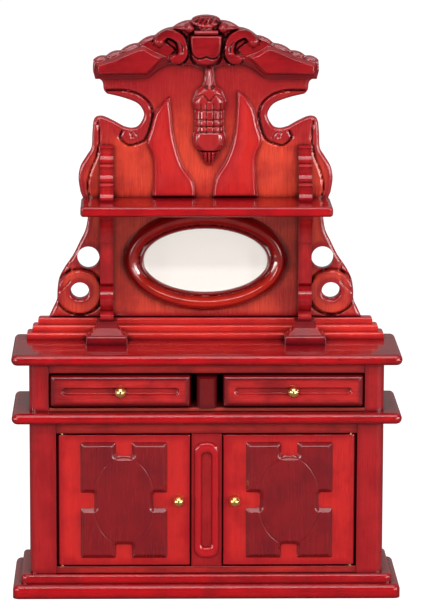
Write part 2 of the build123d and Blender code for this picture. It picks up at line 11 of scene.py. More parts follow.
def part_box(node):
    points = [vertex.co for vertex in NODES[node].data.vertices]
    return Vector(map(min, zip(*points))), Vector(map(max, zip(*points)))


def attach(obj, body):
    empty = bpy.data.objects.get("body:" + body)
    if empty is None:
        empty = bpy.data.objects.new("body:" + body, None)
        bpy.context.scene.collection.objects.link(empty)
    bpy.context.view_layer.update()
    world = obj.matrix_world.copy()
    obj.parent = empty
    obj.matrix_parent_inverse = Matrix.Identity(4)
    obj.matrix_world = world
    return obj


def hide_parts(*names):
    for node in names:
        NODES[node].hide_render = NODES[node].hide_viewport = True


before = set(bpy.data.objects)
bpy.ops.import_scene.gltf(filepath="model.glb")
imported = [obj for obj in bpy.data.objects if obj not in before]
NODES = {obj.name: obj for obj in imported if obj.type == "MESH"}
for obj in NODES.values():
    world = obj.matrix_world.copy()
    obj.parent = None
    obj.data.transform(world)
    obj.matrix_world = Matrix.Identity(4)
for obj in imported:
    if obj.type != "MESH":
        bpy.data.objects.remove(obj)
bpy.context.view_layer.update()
LOG = logging.getLogger("sideboard")
MM = 0.001
SIDES = ("left", "right")


# ------------------------------------------------------------------ shader maths
class Sock:
    """A shader socket that can be used in Python expressions on plain values."""

    def __init__(self, graph: "Graph", link: bpy.types.NodeSocket) -> None:
        """Keep the graph and the output socket.

        Args:
            graph: the graph it belongs to.
            link: the output socket.
        """
        self.graph = graph
        self.link = link

    def _math(self, operation: str, *values: "Sock | float") -> "Sock":
        """One Math node on these values.

        Args:
            operation: what the Math node does.
            values: its inputs.

        Returns:
            Its result.
        """
        return self.graph.node("ShaderNodeMath", {"operation": operation}, values)

    def __add__(self, other: "Sock | float") -> "Sock":
        """Sum.

        Args:
            other: the second value.

        Returns:
            The result.
        """
        return self._math("ADD", self, other)

    def __sub__(self, other: "Sock | float") -> "Sock":
        """Difference.

        Args:
            other: the second value.

        Returns:
            The result.
        """
        return self._math("SUBTRACT", self, other)

    def __rsub__(self, other: float) -> "Sock":
        """Difference from a number.

        Args:
            other: the second value.

        Returns:
            The result.
        """
        return self._math("SUBTRACT", other, self)

    def __mul__(self, other: "Sock | float") -> "Sock":
        """Product.

        Args:
            other: the second value.

        Returns:
            The result.
        """
        return self._math("MULTIPLY", self, other)

    def __truediv__(self, other: "Sock | float") -> "Sock":
        """Quotient.

        Args:
            other: the second value.

        Returns:
            The result.
        """
        return self._math("DIVIDE", self, other)

    def __rtruediv__(self, other: float) -> "Sock":
        """Quotient of a number and this value.

        Args:
            other: the second value.

        Returns:
            The result.
        """
        return self._math("DIVIDE", other, self)

    __radd__ = __add__
    __rmul__ = __mul__

    def size(self) -> "Sock":
        """Absolute value.

        Returns:
            The absolute value.
        """
        return self._math("ABSOLUTE", self)

    def least(self, other: "Sock | float") -> "Sock":
        """The smaller of two values.

        Args:
            other: the second value.

        Returns:
            The smaller.
        """
        return self._math("MINIMUM", self, other)

    def most(self, other: "Sock | float") -> "Sock":
        """The larger of two values.

        Args:
            other: the second value.

        Returns:
            The larger.
        """
        return self._math("MAXIMUM", self, other)

    def ramp(self, low: float, high: float) -> "Sock":
        """0 below low, 1 above high, with a smooth rise between.

        Args:
            low: value where the rise starts.
            high: value where it ends.

        Returns:
            The smooth step.
        """
        return self.graph.node(
            "ShaderNodeMapRange",
            {"interpolation_type": "SMOOTHSTEP", "clamp": True},
            {0: self, 1: low, 2: high, 3: 0.0, 4: 1.0},
        )


class Graph:
    """A node tree built by expressions, around its main shader."""

    def __init__(self, owner: "bpy.types.Material | bpy.types.World", shader: str) -> None:
        """Take the owner's node tree and find its main shader.

        Args:
            owner: the material or the world.
            shader: its main shader's name.
        """
        owner.use_nodes = True
        self.owner = owner
        self.tree = owner.node_tree
        self.shader = self.tree.nodes[shader]

    @classmethod
    def surface(cls, name: str) -> "Graph":
        """The graph of a new material with a Principled shader.

        Args:
            name: the material's name.

        Returns:
            The graph.
        """
        return cls(bpy.data.materials.new(name), "Principled BSDF")

    def node(
        self,
        kind: str,
        settings: dict[str, object] | None = None,
        values: "dict[int | str, object] | tuple" = (),
        output: int | str = 0,
    ) -> Sock:
        """Add a node.

        Args:
            kind: the node's type.
            settings: its own settings, set before its sockets.
            values: values or links of its input sockets, by number or name.
            output: the output wanted.

        Returns:
            That output.
        """
        made = self.tree.nodes.new(kind)
        for name, value in (settings or {}).items():
            setattr(made, name, value)
        pairs = values.items() if isinstance(values, dict) else enumerate(values)
        for key, value in pairs:
            self.feed(made.inputs[key], value)
        return Sock(self, made.outputs[output])

    def feed(self, socket: bpy.types.NodeSocket, value: object) -> None:
        """Link a Sock to an input, or set the input to a constant.

        Args:
            socket: the input.
            value: a Sock or a constant.
        """
        if isinstance(value, Sock):
            self.tree.links.new(value.link, socket)
        else:
            socket.default_value = value

    def set(self, **values: object) -> None:
        """Set or link inputs of the main shader; underscores stand for spaces.

        Args:
            values: values or links, by input name.
        """
        for name, value in values.items():
            self.feed(self.shader.inputs[name.replace("_", " ")], value)

    def mix(self, factor: "Sock | float", first: object, second: object) -> Sock:
        """Blend two colours.

        Args:
            factor: 0 for the first colour, 1 for the second.
            first: a colour or a Sock.
            second: a colour or a Sock.

        Returns:
            The blended colour.
        """
        return self.node(
            "ShaderNodeMix", {"data_type": "RGBA"}, {0: factor, 6: first, 7: second}, 2
        )

    def place(self, scale: tuple[float, float, float]) -> Sock:
        """Object coordinates multiplied by this scale.

        Args:
            scale: multiplier along each axis.

        Returns:
            The scaled coordinates.
        """
        own = self.node("ShaderNodeTexCoord", output="Object")
        return self.node("ShaderNodeVectorMath", {"operation": "MULTIPLY"}, (own, scale))

    def noise(
        self, scale: tuple[float, float, float], detail: float = 2.0, rough: float = 0.5
    ) -> Sock:
        """Noise with this many cells per metre along each axis.

        Args:
            scale: cells per metre along each axis.
            detail: how many finer layers.
            rough: how strong the finer layers are.

        Returns:
            The noise, about 0 to 1.
        """
        values = {"Vector": self.place(scale), "Scale": 1.0, "Detail": detail, "Roughness": rough}
        return self.node("ShaderNodeTexNoise", {}, values)

    def split(self, vector: Sock) -> list[Sock]:
        """The three values of a vector.

        Args:
            vector: the vector.

        Returns:
            Its x, y and z.
        """
        return [self.node("ShaderNodeSeparateXYZ", {}, (vector,), axis) for axis in "XYZ"]

    def axes(self) -> list[Sock]:
        """Object coordinates in millimetres, as three values.

        Returns:
            x, y and z.
        """
        return self.split(self.place((1 / MM, 1 / MM, 1 / MM)))

    def bump(self, height: Sock, strength: float, distance: float) -> Sock:
        """A normal from a height.

        Args:
            height: the height.
            strength: how strongly it shows, 0 to 1.
            distance: how tall a height of 1 is, in metres.

        Returns:
            The normal.
        """
        return self.node(
            "ShaderNodeBump", {}, {"Height": height, "Strength": strength, "Distance": distance}
        )


# ------------------------------------------------------------------ finishes
class Grain(Enum):
    """The axis that the wood's fibres run along: 0 is X and 2 is Z."""

    ACROSS = 0
    UPRIGHT = 2


Colour = tuple[float, float, float, float]


def rgb(red: int, green: int, blue: int) -> Colour:
    """A display colour, 0 to 255, as linear light.

    Args:
        red: red, 0 to 255.
        green: green, 0 to 255.
        blue: blue, 0 to 255.

    Returns:
        Red, green, blue and alpha, 0 to 1.
    """
    linear = [
        (v / 255 / 12.92) if v <= 10 else ((v / 255 + 0.055) / 1.055) ** 2.4
        for v in (red, green, blue)
    ]
    return (*linear, 1.0)


@dataclass(frozen=True)
class Lacquer:
    """Stained wood under gloss lacquer.

    The middle of a piece shows the lighter stain with its grain; the stain is sprayed
    deeper towards the piece's edges. Its pores take the hollow colour, and painted shade from an
    ambient occlusion node darkens its crevices and hollows to that colour.
    """

    name: str
    light: Colour
    deep: Colour
    # hollow: the colour of the pores, and of the painted shade that ambient occlusion lays in
    # crevices and hollows.
    hollow: Colour
    grain: Grain
    figure: float = 0.45
    fade: float = 3.0
    spray: float = 0.75
    coat: float = 0.6
    sheen: float = 0.30
    carved: bool = False

    def dress(self, low: Vector, high: Vector) -> bpy.types.Material:
        """Make the material for a piece.

        Args:
            low: the piece's lowest corner, in metres.
            high: its highest corner.

        Returns:
            The material.
        """
        graph = Graph.surface(self.name)
        along = [2600.0, 2600.0, 2600.0]
        along[self.grain.value] = 130.0
        fibre = graph.noise(tuple(along), 3.0, 0.6)
        streak = [700.0, 700.0, 700.0]
        streak[self.grain.value] = 32.0
        figure = graph.noise(tuple(streak), 2.0, 0.55)
        cloud = graph.noise((60.0, 60.0, 60.0), 2.0, 0.5)
        pores = graph.noise(tuple(v * 1.9 for v in along), 1.0, 0.4).ramp(0.62, 0.72)

        edge = self.edge(graph, low, high)
        tone = fibre.ramp(0.3, 0.75) * 0.55 + figure.ramp(0.3, 0.7) * 0.45
        blotch = graph.noise((95.0, 95.0, 95.0), 3.0, 0.6)
        shade = (1 - tone) * self.figure + blotch.ramp(0.42, 0.68) * 0.45
        colour = graph.mix(shade.least(1.0), self.light, self.deep)
        colour = graph.mix(edge * self.spray, colour, self.deep)
        colour = graph.mix(pores * (self.figure * 0.5), colour, self.hollow)

        # Painted shade: ambient occlusion darkens crevices and hollows towards the hollow colour
        # and thins the coat there.
        open_sky = graph.node(
            "ShaderNodeAmbientOcclusion", {"samples": 6}, {"Distance": 2.2 * MM}, "AO"
        )
        painted_crevice_shade = 1 - open_sky.ramp(0.30, 0.90)
        colour = graph.mix(painted_crevice_shade, colour, self.hollow)
        worn = self.corner(graph) * open_sky.ramp(0.7, 0.95)
        colour = graph.mix(worn * 0.35, colour, self.light)

        peel = graph.noise((900.0, 900.0, 900.0), 1.0)
        height = fibre * 0.5 + peel * 0.5 - pores * 0.4
        gloss = self.sheen + (cloud - 0.5) * 0.12 + (fibre - 0.5) * 0.10
        graph.set(
            Base_Color=colour,
            Roughness=gloss + worn * 0.12,
            Coat_Weight=(self.coat + (cloud - 0.5) * 0.2) * (1 - painted_crevice_shade * 0.5),
            Coat_Roughness=0.07,
            Coat_IOR=1.5,
            Specular_IOR_Level=0.3,
            Normal=graph.bump(height, 0.35, 0.02 * MM),
        )
        return graph.owner

    def edge(self, graph: Graph, low: Vector, high: Vector) -> Sock:
        """1 at the piece's outline as seen from the front, 0 further in than fade.

        Args:
            graph: the material's graph.
            low: the piece's lowest corner, in metres.
            high: its highest corner.

        Returns:
            0 to 1.
        """
        blot = (graph.noise((420.0, 420.0, 420.0), 2.0) - 0.5) * 0.5
        if self.carved:
            stain = graph.node(
                "ShaderNodeAttribute", {"attribute_name": "stain"}, output="Fac")
            return (stain + blot * stain).ramp(0.0, 1.0)
        x, _, z = graph.axes()
        inside = []
        for value, start, end in ((x, low.x, high.x), (z, low.z, high.z)):
            middle, half = (start + end) / 2 / MM, (end - start) / 2 / MM
            inside.append((half - (value - middle).size()) / min(self.fade, half * 0.7))
        return 1 - (inside[0].least(inside[1]) + blot).ramp(0.0, 1.0)

    def corner(self, graph: Graph) -> Sock:
        """1 on sharp corners of the piece, 0 on its faces.

        Args:
            graph: the material's graph.

        Returns:
            0 to 1.
        """
        plain = graph.node("ShaderNodeNewGeometry", output="Normal")
        rounded = graph.node("ShaderNodeBevel", {"samples": 4}, {"Radius": 0.3 * MM})
        turn = graph.node(
            "ShaderNodeVectorMath", {"operation": "DOT_PRODUCT"}, (plain, rounded), "Value"
        )
        return 1 - turn.ramp(0.80, 0.985)


@dataclass(frozen=True)
class Brass:
    """Turned and polished brass."""

    name: str
    colour: Colour

    def dress(self, low: Vector, high: Vector) -> bpy.types.Material:
        """Make the material for a piece between these corners.

        Args:
            low: not used.
            high: not used.

        Returns:
            The material.
        """
        graph = Graph.surface(self.name)
        smear = graph.noise((500.0, 500.0, 500.0), 2.0)
        turned = graph.noise((900.0, 6000.0, 900.0), 1.0)
        tarnish = smear.ramp(0.45, 0.75)
        graph.set(
            Base_Color=graph.mix(tarnish * 0.5, self.colour, rgb(214, 150, 66)),
            Metallic=1.0,
            Roughness=0.22 + tarnish * 0.14,
            Normal=graph.bump(turned, 0.15, 0.02 * MM),
        )
        return graph.owner


@dataclass(frozen=True)
class Silvering:
    """Silvered mirror glass, a little warm, that glows faintly as painted light."""

    name: str
    colour: Colour

    def dress(self, low: Vector, high: Vector) -> bpy.types.Material:
        """Make the material for a piece between these corners.

        Args:
            low: not used.
            high: not used.

        Returns:
            The material.
        """
        graph = Graph.surface(self.name)
        haze = graph.noise((120.0, 120.0, 120.0), 2.0)
        graph.set(
            Base_Color=graph.mix(haze * 0.2, self.colour, rgb(236, 230, 218)),
            Metallic=0.25,
            Roughness=0.08 + haze * 0.04,
            # Painted light: the glass glows faintly in its own colour, though it is no lamp.
            Emission_Color=self.colour,
            Emission_Strength=0.22,
        )
        return graph.owner


Finish = Lacquer | Brass | Silvering

CRIMSON = Lacquer("crimson_lacquer", rgb(192, 7, 18), rgb(128, 1, 12), rgb(46, 1, 4),
                  Grain.ACROSS, figure=0.35, fade=2.0, coat=0.6, sheen=0.26)
FOOT = Lacquer("foot_lacquer", rgb(231, 53, 43), rgb(180, 18, 26), rgb(56, 3, 6), Grain.ACROSS,
               figure=0.4, fade=2.0)
RAIL = Lacquer("rail_lacquer", rgb(196, 39, 32), rgb(124, 8, 18), rgb(46, 2, 5), Grain.ACROSS)
POST = Lacquer("post_lacquer", rgb(180, 28, 32), rgb(142, 8, 18), rgb(46, 2, 5), Grain.UPRIGHT,
               fade=2.0)
BLOCK = Lacquer("block_lacquer", rgb(121, 10, 15), rgb(80, 3, 10), rgb(36, 1, 4), Grain.UPRIGHT,
                fade=2.0)
FRAME = Lacquer("door_lacquer", rgb(209, 38, 34), rgb(158, 4, 20), rgb(50, 1, 6), Grain.UPRIGHT,
                figure=0.35, fade=3.0)
PANEL = Lacquer("panel_lacquer", rgb(190, 30, 30), rgb(108, 4, 18), rgb(34, 1, 5),
                Grain.UPRIGHT, spray=0.7, coat=0.9, sheen=0.26, carved=True)
DRAWER = Lacquer("drawer_lacquer", rgb(203, 35, 34), rgb(110, 2, 12), rgb(42, 1, 4),
                 Grain.ACROSS, spray=0.95, coat=0.9, sheen=0.24, carved=True)
RING = Lacquer("ring_lacquer", rgb(205, 22, 28), rgb(176, 10, 22), rgb(46, 2, 5), Grain.UPRIGHT,
               spray=0.9, coat=0.9, sheen=0.24, carved=True)
BOARD = Lacquer("board_lacquer", rgb(222, 72, 48), rgb(156, 22, 32), rgb(54, 3, 6),
                Grain.UPRIGHT, figure=0.35, spray=0.9, coat=0.85, sheen=0.27, carved=True)
LEAF = Lacquer("leaf_lacquer", rgb(205, 39, 34), rgb(160, 16, 26), rgb(54, 3, 6),
               Grain.UPRIGHT, figure=0.35, spray=0.8, coat=0.8, carved=True)
CARVED = Lacquer("carved_lacquer", rgb(178, 38, 39), rgb(132, 12, 22), rgb(36, 2, 6),
                 Grain.UPRIGHT, figure=0.4, spray=0.6, coat=0.9, sheen=0.22, carved=True)
CROWN = Lacquer("crest_lacquer", rgb(162, 22, 28), rgb(112, 5, 16), rgb(32, 1, 4),
                Grain.ACROSS, figure=0.4, spray=0.7, coat=0.9, sheen=0.24, carved=True)
BRACKET = Lacquer("bracket_lacquer", rgb(192, 32, 32), rgb(134, 8, 20), rgb(40, 2, 5),
                  Grain.UPRIGHT, fade=1.6, coat=0.9, sheen=0.22)
STAND = Lacquer("stand_lacquer", rgb(147, 17, 24), rgb(100, 6, 18), rgb(34, 1, 4), Grain.ACROSS,
                fade=1.6, coat=0.9, sheen=0.24)
DARK = Lacquer("dark_lacquer", rgb(194, 39, 21), rgb(110, 6, 12), rgb(30, 1, 3), Grain.ACROSS,
               figure=0.3, spray=0.9, coat=1.0, sheen=0.18, carved=True)
INNER = Lacquer("inner_wood", rgb(192, 62, 48), rgb(150, 44, 36), rgb(60, 10, 8), Grain.ACROSS,
                coat=0.2, sheen=0.45, spray=0.4)
BRASS = Brass("polished_brass", rgb(255, 206, 130))
MIRROR = Silvering("silvered_glass", rgb(250, 247, 240))


# ------------------------------------------------------------------ curves for carving
Points = list[tuple[float, float]]


def spline(points: Points, closed: bool = False, steps: int = 6) -> np.ndarray:
    """A smooth curve through points.

    Args:
        points: x and z of each, in millimetres.
        closed: True to join the last to the first.
        steps: pieces between two points.

    Returns:
        The curve's points, one row each.
    """
    given = np.array(points, float)
    if closed:
        padded = np.vstack([given[-1], given, given[:2]])
    else:
        padded = np.vstack([given[0], given, given[-1]])
    t = (np.arange(steps) / steps)[:, None]
    parts = []
    for a, b, c, d in zip(padded, padded[1:], padded[2:], padded[3:]):
        parts.append(0.5 * (2 * b + (c - a) * t + (2 * a - 5 * b + 4 * c - d) * t**2
                            + (3 * b - a - 3 * c + d) * t**3))
    if not closed:
        parts.append(given[-1:])
    return np.vstack(parts)


def nearest(x: np.ndarray, z: np.ndarray, path: np.ndarray) -> tuple[np.ndarray, np.ndarray]:
    """Distance from each place to a path, and the point of the path nearest to it.

    Args:
        x: places across, in millimetres.
        z: heights of the same places.
        path: points of the line, one row each.

    Returns:
        The distances and the points, in that order.
    """
    best = np.full(x.shape, 1e9)
    spot = np.zeros((*x.shape, 2))
    for (ax, az), (bx, bz) in zip(path, path[1:]):
        dx, dz = bx - ax, bz - az
        length = dx * dx + dz * dz
        if length < 1e-12:
            continue
        t = np.clip(((x - ax) * dx + (z - az) * dz) / length, 0, 1)
        px, pz = ax + t * dx, az + t * dz
        away = np.hypot(x - px, z - pz)
        closer = away < best
        best = np.where(closer, away, best)
        spot[closer] = np.stack([px, pz], -1)[closer]
    return best, spot


def inside(x: np.ndarray, z: np.ndarray, outline: np.ndarray) -> np.ndarray:
    """True where a place lies within a closed outline.

    Args:
        x: places across, in millimetres.
        z: heights of the same places.
        outline: points of the closed outline, one row each.

    Returns:
        True or false for each place.
    """
    within = np.zeros(x.shape, bool)
    for (ax, az), (bx, bz) in zip(outline, np.roll(outline, -1, 0)):
        if az != bz:
            crosses = ((az > z) != (bz > z)) & (x < (bx - ax) * (z - az) / (bz - az) + ax)
            within ^= crosses
    return within


def depth_within(x: np.ndarray, z: np.ndarray, outline: np.ndarray) -> np.ndarray:
    """Distance in from a closed outline; negative outside it.

    Args:
        x: places across, in millimetres.
        z: heights of the same places.
        outline: points of the closed outline, one row each.

    Returns:
        The distances, in millimetres.
    """
    away, _ = nearest(x, z, np.vstack([outline, outline[:1]]))
    return np.where(inside(x, z, outline), away, -away)


def rise(value: np.ndarray, low: float, high: float) -> np.ndarray:
    """0 below low, 1 above high, with a smooth rise between.

    Args:
        value: values to judge.
        low: value where the rise starts.
        high: value where it ends.

    Returns:
        The smooth step for each value.
    """
    t = np.clip((value - low) / (high - low), 0, 1)
    return t * t * (3 - 2 * t)


def mirrored(points: Points) -> Points:
    """The points on the other side of the middle, in reverse order.

    Args:
        points: x and z of each, in millimetres.

    Returns:
        The mirrored points.
    """
    return [(-x, z) for x, z in reversed(points)]


def ellipse(x: float, z: float, wide: float, high: float, count: int = 40) -> np.ndarray:
    """Points round an ellipse with these half sizes.

    Args:
        x: its centre across.
        z: its centre's height.
        wide: half its width.
        high: half its height.
        count: how many points.

    Returns:
        The points, one row each.
    """
    turn = np.linspace(0, 2 * math.pi, count, endpoint=False)
    return np.stack([x + wide * np.cos(turn), z + high * np.sin(turn)], -1)


def groove(x: np.ndarray, z: np.ndarray, path: np.ndarray, width: float) -> np.ndarray:
    """1 along a path, falling to 0 at half the width from it.

    Args:
        x: places across, in millimetres.
        z: heights of the same places.
        path: points of the line, one row each.
        width: full width of the groove.

    Returns:
        0 to 1 for each place.
    """
    return 1 - rise(nearest(x, z, path)[0], 0, width / 2)


def band(x: np.ndarray, z: np.ndarray, path: np.ndarray, width: float) -> np.ndarray:
    """A half-round band along a path: 1 along its middle, 0 at its edges.

    Args:
        x: places across, in millimetres.
        z: heights of the same places.
        path: points of the line, one row each.
        width: full width of the band.

    Returns:
        0 to 1 for each place.
    """
    away = nearest(x, z, path)[0] / (width / 2)
    return np.sqrt(np.clip(1 - away**2, 0, 1))


def dome(x: np.ndarray, z: np.ndarray, at: tuple[float, float],
         half: tuple[float, float]) -> np.ndarray:
    """A rounded knob: 1 at its middle, 0 at its edge.

    Args:
        x: places across, in millimetres.
        z: heights of the same places.
        at: the knob's centre.
        half: half its width and half its height.

    Returns:
        0 to 1 for each place.
    """
    away = ((x - at[0]) / half[0]) ** 2 + ((z - at[1]) / half[1]) ** 2
    return np.sqrt(np.clip(1 - away, 0, 1))


def slab(wide: float, tall: float, radius: float) -> np.ndarray:
    """A rectangle with rounded corners about the origin, as points anticlockwise.

    Args:
        wide: its width.
        tall: its height.
        radius: radius of its corners.

    Returns:
        The points, one row each.
    """
    points: Points = []
    for corner, (sx, sz) in enumerate(((1, 1), (-1, 1), (-1, -1), (1, -1))):
        for turn in np.linspace(0, math.pi / 2, 8) + corner * math.pi / 2:
            points.append((sx * (wide / 2 - radius) + radius * math.cos(turn),
                           sz * (tall / 2 - radius) + radius * math.sin(turn)))
    return np.array(points)


def eased(points: Points, radius: float) -> np.ndarray:
    """The closed outline with its corners rounded by about this radius.

    Args:
        points: x and z of each, in millimetres.
        radius: about how far the rounding reaches.

    Returns:
        The rounded outline, one point a row.
    """
    given = np.array(points, float)
    run = []
    for before, at, after in zip(np.roll(given, 1, 0), given, np.roll(given, -1, 0)):
        start_at = at + (before - at) * radius / np.linalg.norm(before - at)
        end_at = at + (after - at) * radius / np.linalg.norm(after - at)
        for t in np.linspace(0, 1, 5):
            run.append((1 - t) ** 2 * start_at + 2 * t * (1 - t) * at + t * t * end_at)
    return np.array(run)


def quarter(edge: np.ndarray, width: float) -> np.ndarray:
    """A quarter-round edge: 0 at the edge, 1 further in than the width.

    Args:
        edge: distances in from the edge.
        width: width of the rounding.

    Returns:
        0 to 1 for each distance.
    """
    return np.sqrt(1 - (1 - np.clip(edge / width, 0, 1)) ** 2)


# ------------------------------------------------------------------ modelling helpers
HUTCH_Z = 81.41
BOARD_FACE = 12.2


def start(name: str) -> bpy.types.Object:
    """Name the object that a primitive has just made.

    Args:
        name: the name to give it.

    Returns:
        The object.
    """
    made = bpy.context.object
    made.name = name
    made.data.name = name
    return made


def clear_choice() -> None:
    """Deselect everything."""
    bpy.ops.object.select_all(action="DESELECT")


def finished(made: bpy.types.Object, angle: float) -> bpy.types.Object:
    """Apply the object's transforms, turn its faces outwards and shade it smooth.

    Args:
        made: the piece.
        angle: corners sharper than this stay sharp, in degrees.

    Returns:
        The piece.
    """
    clear_choice()
    made.select_set(True)
    bpy.context.view_layer.objects.active = made
    bpy.ops.object.transform_apply(location=True, rotation=True, scale=True)
    bpy.ops.object.mode_set(mode="EDIT")
    bpy.ops.mesh.select_all(action="SELECT")
    bpy.ops.mesh.normals_make_consistent(inside=False)
    bpy.ops.object.mode_set(mode="OBJECT")
    bpy.ops.object.shade_smooth_by_angle(angle=math.radians(angle))
    return made


def dress(made: bpy.types.Object, finish: Finish, slot: str, *nodes: str,
          body: str = "cabinet") -> None:
    """Give a new piece its finish and let it stand for CAD nodes.

    Args:
        made: the piece.
        finish: its finish.
        slot: not used.
        nodes: the CAD nodes it stands for.
        body: the moving body it rides on.
    """
    corners = np.array([made.matrix_world @ vertex.co for vertex in made.data.vertices])
    material = finish.dress(Vector(corners.min(0)), Vector(corners.max(0)))
    made.data.materials.clear()
    made.data.materials.append(material)
    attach(made, body)
    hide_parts(*nodes)


def refinish(finish: Finish, *names: str) -> None:
    """Put a finish on CAD nodes, one material each, fitted to the node's own box.

    Args:
        finish: the finish.
        names: the CAD nodes.
    """
    for name in names:
        material = finish.dress(*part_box(name))
        for place in NODES[name].material_slots:
            place.material = material


def both(name: str) -> list[str]:
    """The left and right nodes of this name.

    Args:
        name: the nodes' shared name.

    Returns:
        The two names, left first.
    """
    return [f"{name}_{side}" for side in SIDES]


@dataclass
class Relief:
    """A flat piece whose front is carved.

    Sizes are in millimetres; x is from the piece's middle and z from its foot.
    """

    name: str
    outline: np.ndarray
    front: float
    back: float
    pitch: float = 0.25
    holes: list[np.ndarray] = field(default_factory=list)
    foot: float = HUTCH_Z
    middle: float = 0.0

    def edge(self, x: np.ndarray, z: np.ndarray) -> np.ndarray:
        """Distance in from the outline, or from a hole if that is nearer.

        Args:
            x: places across, in millimetres.
            z: heights of the same places.

        Returns:
            The distances, in millimetres.
        """
        away = depth_within(x, z, self.outline)
        for hole in self.holes:
            away = np.minimum(away, -depth_within(x, z, hole))
        return away

    def stain(self, x: np.ndarray, z: np.ndarray) -> np.ndarray:
        """How deep the sprayed stain lies: 1 at the edges, 0 well inside.

        Args:
            x: places across, in millimetres.
            z: heights of the same places.

        Returns:
            0 to 1 for each place.
        """
        return 1 - rise(self.edge(x, z), 0, 3.0)

    def height(self, x: np.ndarray, z: np.ndarray) -> np.ndarray:
        """How far the carving stands in front of the ground at each place.

        Args:
            x: places across, in millimetres.
            z: heights of the same places.

        Returns:
            The heights, in millimetres.
        """
        return np.zeros(x.shape)

    def build(self) -> bpy.types.Object:
        """Cut the blank, carve its front and close it at the back.

        Returns:
            The piece.
        """
        made = self.blank()
        self.saw(made.data)
        self.carve(made.data)
        self.thicken(made.data)
        return finished(made, 50)

    def blank(self) -> bpy.types.Object:
        """A fine grid over the outline's box, facing the front, sized in millimetres.

        Returns:
            The grid.
        """
        low, high = self.outline.min(0), self.outline.max(0)
        wide, tall = high - low
        middle = (low + high) / 2
        clear_choice()
        bpy.ops.mesh.primitive_grid_add(
            x_subdivisions=int(wide / self.pitch), y_subdivisions=int(tall / self.pitch),
            size=1, location=(middle[0], 0, middle[1]), rotation=(math.pi / 2, 0, 0))
        made = start(self.name)
        made.scale = (wide, tall, 1)
        bpy.ops.object.transform_apply(location=True, rotation=True, scale=True)
        return made

    def saw(self, mesh: bpy.types.Mesh) -> None:
        """Cut away the grid outside the outline and in its holes, and select the cut edge.

        Args:
            mesh: the piece's mesh.
        """
        centres = np.zeros(len(mesh.polygons) * 3)
        mesh.polygons.foreach_get("center", centres)
        x, z = centres[0::3], centres[2::3]
        keep = inside(x, z, self.outline)
        for hole in self.holes:
            keep &= ~inside(x, z, hole)
        bpy.ops.object.mode_set(mode="EDIT")
        bpy.context.tool_settings.mesh_select_mode = (False, False, True)
        bpy.ops.object.mode_set(mode="OBJECT")
        mesh.polygons.foreach_set("select", ~keep)
        bpy.ops.object.mode_set(mode="EDIT")
        bpy.ops.mesh.delete(type="FACE")
        bpy.context.tool_settings.mesh_select_mode = (True, False, False)
        bpy.ops.mesh.select_all(action="SELECT")
        bpy.ops.mesh.delete_loose()
        bpy.ops.mesh.select_all(action="DESELECT")
        bpy.ops.mesh.select_non_manifold(extend=False, use_wire=False, use_multi_face=False,
                                         use_non_contiguous=False, use_verts=False)
        bpy.ops.object.mode_set(mode="OBJECT")

    def carve(self, mesh: bpy.types.Mesh) -> None:
        """Draw the selected edge onto the outline and give the front its relief.

        Args:
            mesh: the piece's mesh.
        """
        co, rim = self.corners(mesh)
        best, spot = np.full(rim.sum(), 1e9), co[rim][:, [0, 2]]
        for ring in [self.outline, *self.holes]:
            away, at = nearest(co[rim, 0], co[rim, 2], np.vstack([ring, ring[:1]]))
            spot = np.where((away < best)[:, None], at, spot)
            best = np.minimum(away, best)
        co[rim, 0], co[rim, 2] = spot[:, 0], spot[:, 1]
        co[:, 1] = self.front - self.height(co[:, 0], co[:, 2])
        mesh.vertices.foreach_set("co", co.ravel())

    def thicken(self, mesh: bpy.types.Mesh) -> None:
        """Close the piece with a flat back, mark its stain and put it in its place.

        Args:
            mesh: the piece's mesh.
        """
        bpy.ops.object.mode_set(mode="EDIT")
        bpy.ops.mesh.select_all(action="SELECT")
        bpy.ops.mesh.extrude_region_move(TRANSFORM_OT_translate={"value": (0, 0.1, 0)})
        bpy.ops.object.mode_set(mode="OBJECT")
        co, moved = self.corners(mesh)
        co[moved, 1] = self.back
        stain = mesh.attributes.new("stain", "FLOAT", "POINT")
        stain.data.foreach_set("value", self.stain(co[:, 0], co[:, 2]))
        co += (self.middle, 0, self.foot)
        mesh.vertices.foreach_set("co", (co * MM).ravel())
        mesh.update()

    @staticmethod
    def corners(mesh: bpy.types.Mesh) -> tuple[np.ndarray, np.ndarray]:
        """The mesh's vertices, one row each, and which of them are selected.

        Args:
            mesh: the piece's mesh.

        Returns:
            The vertices and the choice, in that order.
        """
        co = np.zeros(len(mesh.vertices) * 3)
        chosen = np.zeros(len(mesh.vertices), bool)
        mesh.vertices.foreach_get("co", co)
        mesh.vertices.foreach_get("select", chosen)
        return co.reshape(-1, 3), chosen


# ------------------------------------------------------------------ carved pieces
WING: Points = [(48.0, 0), (46.9, 2.4), (45.6, 5.3), (45.4, 8.5), (44.9, 11.8), (43.2, 15.2),
                (40.6, 19.0), (38.6, 23.0), (36.6, 27.4), (35.8, 33.0)]
EAR: Points = [(38.2, 38.8), (38.8, 43.0), (38.2, 46.6), (36.3, 49.8), (34.8, 52.5),
               (34.5, 57.5), (33.9, 61.2), (31.6, 62.0), (28.2, 60.6), (25.2, 58.9)]
CUTOUT: Points = [(25.2, 58.9), (22.7, 58.3), (20.5, 59.0), (18.9, 61.7), (19.1, 63.9),
                  (21.0, 66.2), (25.4, 67.9), (30.0, 69.0)]
JAW: Points = [(30.0, 69.0), (31.0, 70.2), (31.5, 72.8), (33.7, 74.4), (34.3, 76.4), (34.2, 79.2)]
LOBES: Points = [(34.2, 79.2), (30.3, 80.4), (25.9, 82.0), (20.5, 84.3), (15.4, 86.7),
                 (10.0, 89.2), (4.4, 91.3)]


